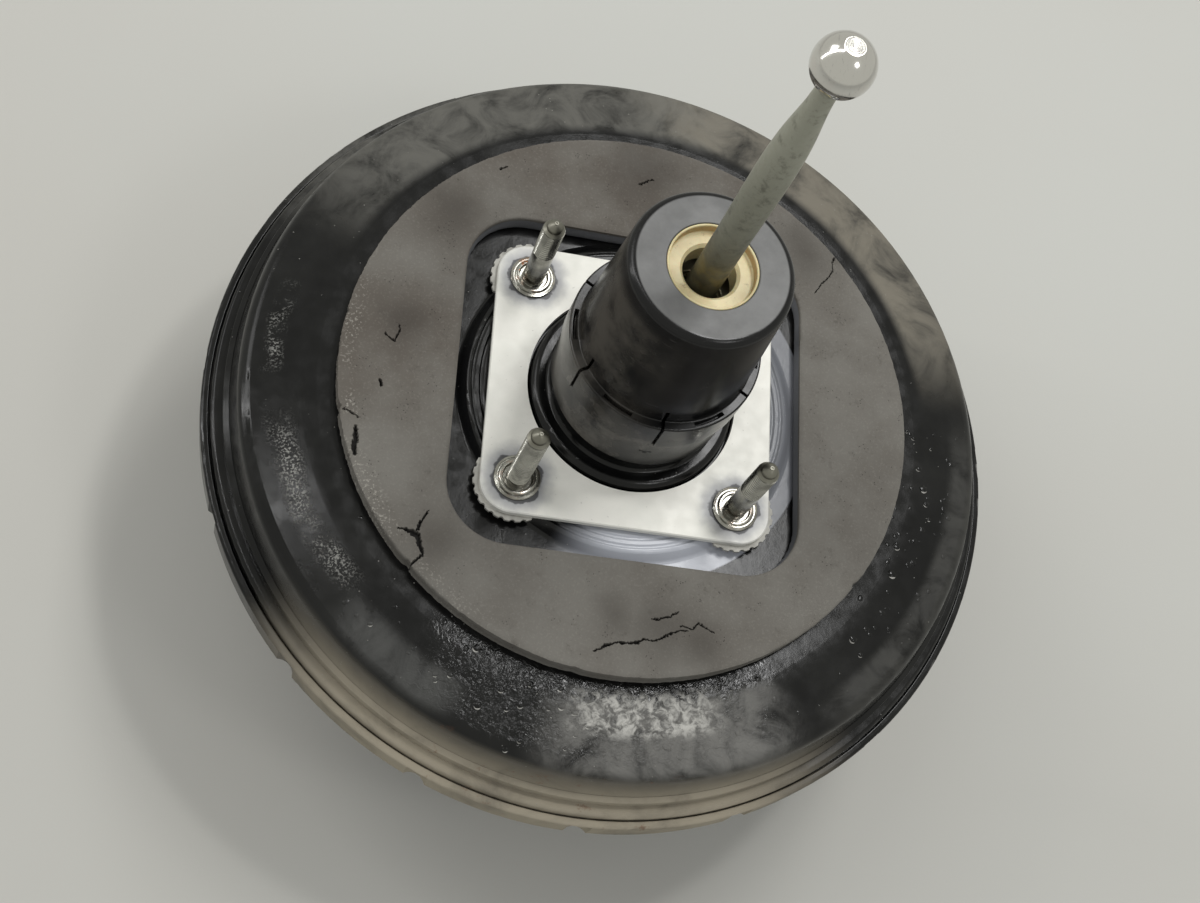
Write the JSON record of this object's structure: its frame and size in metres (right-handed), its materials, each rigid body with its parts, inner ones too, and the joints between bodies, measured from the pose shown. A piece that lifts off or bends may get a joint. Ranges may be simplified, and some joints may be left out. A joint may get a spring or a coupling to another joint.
{
  "type": "brake booster",
  "caption": "Round vacuum brake booster with a foam-sealed stud plate, a capped neck and a ball-ended pedal rod.",
  "frame": {"origin": "centre of the stud plate's outer face, on the booster's axis, where the bulkhead lies", "axes": "+Z along the booster's axis towards the pedal ball, +X and +Y along the sides of the stud square"},
  "size_m": [0.2992, 0.2992, 0.3451],
  "materials": {
    "shell_paint": "semi-gloss black paint, dusty and scratched",
    "zinc_plate": "bright zinc plate, satin",
    "zinc_stud": "zinc-plated steel thread",
    "washer_grey": "grey sealing compound, ribbed",
    "gasket_foam": "matt warm grey closed-cell foam",
    "black_plastic": "satin moulded plastic",
    "cream_plastic": "unpigmented moulded plastic",
    "rod_steel": "dull phosphated steel",
    "pressed_steel": "pressed steel sheet",
    "spring_steel": "oiled spring wire",
    "rubber": "matt black rubber",
    "hub_plastic": "glass-filled moulded plastic",
    "filter_foam": "open-cell foam"
  },
  "bodies": {
    "housing": {"rear_shell": "shell_paint", "front_shell": "shell_paint", "stud_plate": "zinc_plate", "rear_studs": "zinc_stud", "stud_washers": "washer_grey", "bulkhead_gasket": "gasket_foam", "neck_collar": "black_plastic", "boot_cap": "black_plastic", "rod_guide_ring": "cream_plastic", "neck_seal": "rubber", "neck_bush": "hub_plastic", "front_plate": "pressed_steel", "front_studs": "zinc_stud", "valve_grommet": "rubber", "check_valve_body": "black_plastic", "check_spring": "spring_steel", "return_spring": "spring_steel", "diaphragm": "rubber"},
    "power_piston": {"piston_hub": "hub_plastic", "stop_key": "pressed_steel", "diaphragm_plate": "pressed_steel", "reaction_disc": "rubber", "output_rod": "rod_steel", "output_clip": "pressed_steel", "poppet_seal": "rubber", "poppet_retainer": "pressed_steel", "poppet_spring": "spring_steel", "rod_return_spring": "spring_steel", "air_filter": "filter_foam", "filter_retainer": "hub_plastic"},
    "plunger": {"valve_plunger": "hub_plastic"},
    "ball_seat": {"ball_liner": "hub_plastic"},
    "rod": {"pedal_rod": "rod_steel", "rod_spring_seat": "pressed_steel"},
    "check_valve_disc": {"check_disc": "rubber"}
  },
  "joints": [
    {"name": "piston_stroke", "type": "slide", "parent": "housing", "child": "power_piston", "axis": [0, 0, -1], "range_m": [0, 0.036], "stiffness_N_per_m": 5000, "springref_m": -0.02, "deforming": ["return_spring", "diaphragm"]},
    {"name": "input_stroke", "type": "slide", "parent": "power_piston", "child": "plunger", "axis": [0, 0, -1], "range_m": [0, 0.0015], "stiffness_N_per_m": 4000, "springref_m": -0.01, "deforming": ["rod_return_spring"]},
    {"name": "rod_tilt_x", "type": "hinge", "parent": "plunger", "child": "ball_seat", "pos_m": [0, 0, 0.006], "axis": [1, 0, 0], "range_deg": [-1, 1]},
    {"name": "rod_tilt_y", "type": "hinge", "parent": "ball_seat", "child": "rod", "pos_m": [0, 0, 0.006], "axis": [0, 1, 0], "range_deg": [-1, 1]},
    {"name": "check_lift", "type": "slide", "parent": "housing", "child": "check_valve_disc", "axis": [0.1867, 0.3511, -0.9176], "range_m": [0, 0.0016], "stiffness_N_per_m": 60, "springref_m": -0.004, "deforming": ["check_spring"]}
  ]
}
